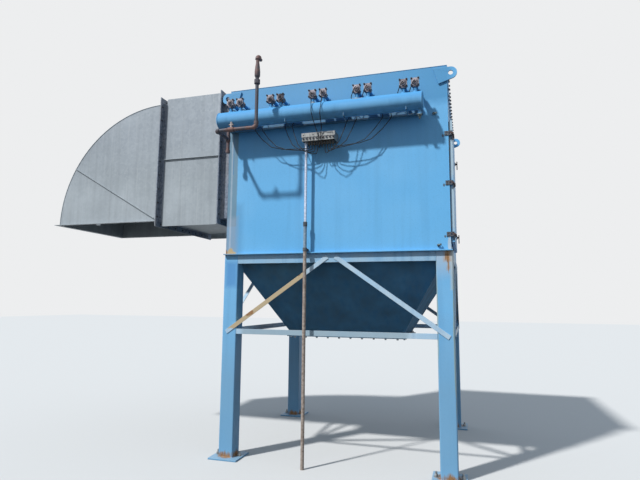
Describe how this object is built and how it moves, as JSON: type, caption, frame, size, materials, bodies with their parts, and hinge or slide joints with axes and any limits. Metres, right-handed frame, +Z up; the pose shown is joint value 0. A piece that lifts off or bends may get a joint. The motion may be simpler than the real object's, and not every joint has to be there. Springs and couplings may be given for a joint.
{
  "type": "pulse-jet dust collector",
  "caption": "Steel filter housing on braced legs with a hopper below, a compressed-air header with pulse valves on the front, a hinged side door and a duct that turns down in a radius elbow.",
  "frame": {"origin": "on the ground, midway between the four legs", "axes": "+X to the right along the front, +Y from the front to the back, +Z up"},
  "size_m": [4.5709, 2.6387, 3.9177],
  "materials": {
    "blue_paint": "weathered blue machine enamel with rust at edges",
    "rusty_steel": "rusted black steel pipe and hinges",
    "cast_aluminium": "dull sand-cast aluminium",
    "grey_enamel": "pale grey enamel, chalky",
    "black_tubing": "black nylon tube",
    "galvanised_pipe": "galvanised conduit, rusted lower down",
    "weathered_frame": "dark weathered steel angle",
    "galvanised_sheet": "dull weathered galvanised sheet"
  },
  "bodies": {
    "frame": {"front_left_leg": "blue_paint", "front_right_leg": "blue_paint", "back_left_leg": "blue_paint", "back_right_leg": "blue_paint", "base_plates": "blue_paint", "top_rails": "blue_paint", "front_bracing": "blue_paint", "back_bracing": "blue_paint", "side_bracing": "blue_paint", "base_flange": "blue_paint", "front_wall": "blue_paint", "back_wall": "blue_paint", "left_wall": "blue_paint", "right_wall_beside_door": "blue_paint", "right_wall_over_under_door": "blue_paint", "roof_panel": "blue_paint", "plenum_cover": "blue_paint", "lifting_lugs": "blue_paint", "hopper_front": "blue_paint", "hopper_back": "blue_paint", "hopper_sides": "blue_paint", "hopper_flange": "blue_paint", "hopper_cover": "blue_paint", "hinge_brackets": "rusty_steel", "header_shell": "blue_paint", "header_end_caps": "blue_paint", "header_shelf": "blue_paint", "pulse_valves": "cast_aluminium", "blow_pipes": "blue_paint", "solenoid_box": "grey_enamel", "pilot_tubes": "black_tubing", "conduit": "galvanised_pipe", "air_pipe": "rusty_steel", "duct_collar": "weathered_frame", "box_front_panels": "galvanised_sheet", "box_back_panel": "galvanised_sheet", "box_top_bottom_panels": "galvanised_sheet", "box_end_frames": "weathered_frame", "elbow_front_cheek": "galvanised_sheet", "elbow_back_cheek": "galvanised_sheet", "elbow_heel": "galvanised_sheet", "elbow_inlet_flange": "weathered_frame", "elbow_mouth_frame": "galvanised_sheet"},
    "door": {"access_door": "blue_paint", "door_hardware": "rusty_steel"}
  },
  "joints": [
    {"name": "door_hinge", "type": "hinge", "parent": "frame", "child": "door", "pos_m": [1.146, -1.062, 2.6], "axis": [0, 0, -1], "range_deg": [0, 110]}
  ]
}
